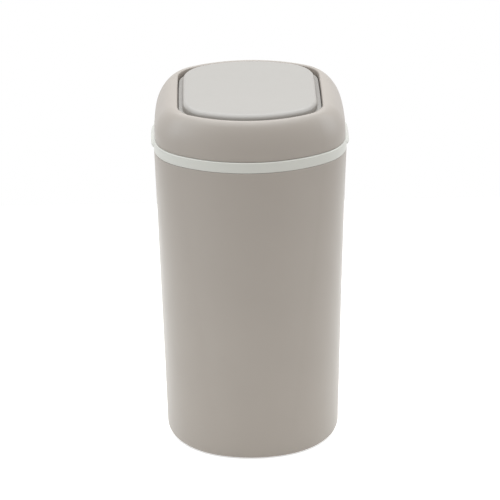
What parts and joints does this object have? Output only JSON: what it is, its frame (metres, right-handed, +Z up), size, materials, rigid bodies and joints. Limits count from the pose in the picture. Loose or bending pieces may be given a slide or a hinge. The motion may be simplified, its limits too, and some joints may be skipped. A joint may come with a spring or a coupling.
{
  "type": "nappy bin",
  "caption": "Tall free-standing nappy bin: a tapering tub, a lift-off bag ring with side grips, and a lift-off domed cap with a balanced flap that swings both ways.",
  "frame": {"origin": "on the floor, under the bin's upright middle axis", "axes": "+Z up, -Y towards the front face, X along the flap's pivot axis"},
  "size_m": [0.2568, 0.25, 0.4841],
  "materials": {
    "taupe_shell": "soft-touch taupe",
    "light_ring": "smooth off-white",
    "flap_panel": "fine matt warm grey",
    "inner_frame": "plain moulded taupe",
    "rubber": "soft matt",
    "bush": "natural acetal",
    "steel": "zinc-plated"
  },
  "bodies": {
    "tub_body": {"tub": "taupe_shell", "foot_1": "rubber", "foot_2": "rubber", "foot_3": "rubber", "foot_4": "rubber"},
    "ring_body": {"bag_ring": "light_ring", "ring_gasket": "rubber"},
    "cap_body": {"cap_shell": "taupe_shell", "cap_frame": "inner_frame", "cap_gasket": "rubber", "bush_left": "bush", "bush_right": "bush", "bearing_clamp_left": "inner_frame", "bearing_clamp_right": "inner_frame", "clamp_screw_1": "steel", "clamp_screw_2": "steel", "clamp_screw_3": "steel", "clamp_screw_4": "steel", "frame_screw_1": "steel", "frame_screw_2": "steel", "frame_screw_3": "steel", "frame_screw_4": "steel"},
    "flap_body": {"flap_top": "flap_panel", "flap_base": "flap_panel", "flap_seal": "rubber", "pivot_pin_left": "steel", "pivot_pin_right": "steel", "counterweight": "steel", "weight_screw_1": "steel", "weight_screw_2": "steel", "flap_screw_1": "steel", "flap_screw_2": "steel", "flap_screw_3": "steel", "flap_screw_4": "steel"}
  },
  "joints": [
    {"name": "ring_lift", "type": "slide", "parent": "tub_body", "child": "ring_body", "axis": [0, 0, 1], "range_m": [0, 0.12]},
    {"name": "cap_lift", "type": "slide", "parent": "ring_body", "child": "cap_body", "axis": [0, 0, 1], "range_m": [0, 0.15]},
    {"name": "flap_swing", "type": "hinge", "parent": "cap_body", "child": "flap_body", "pos_m": [0, 0, 0.463], "axis": [1, 0, 0], "range_deg": [-65, 65]}
  ]
}
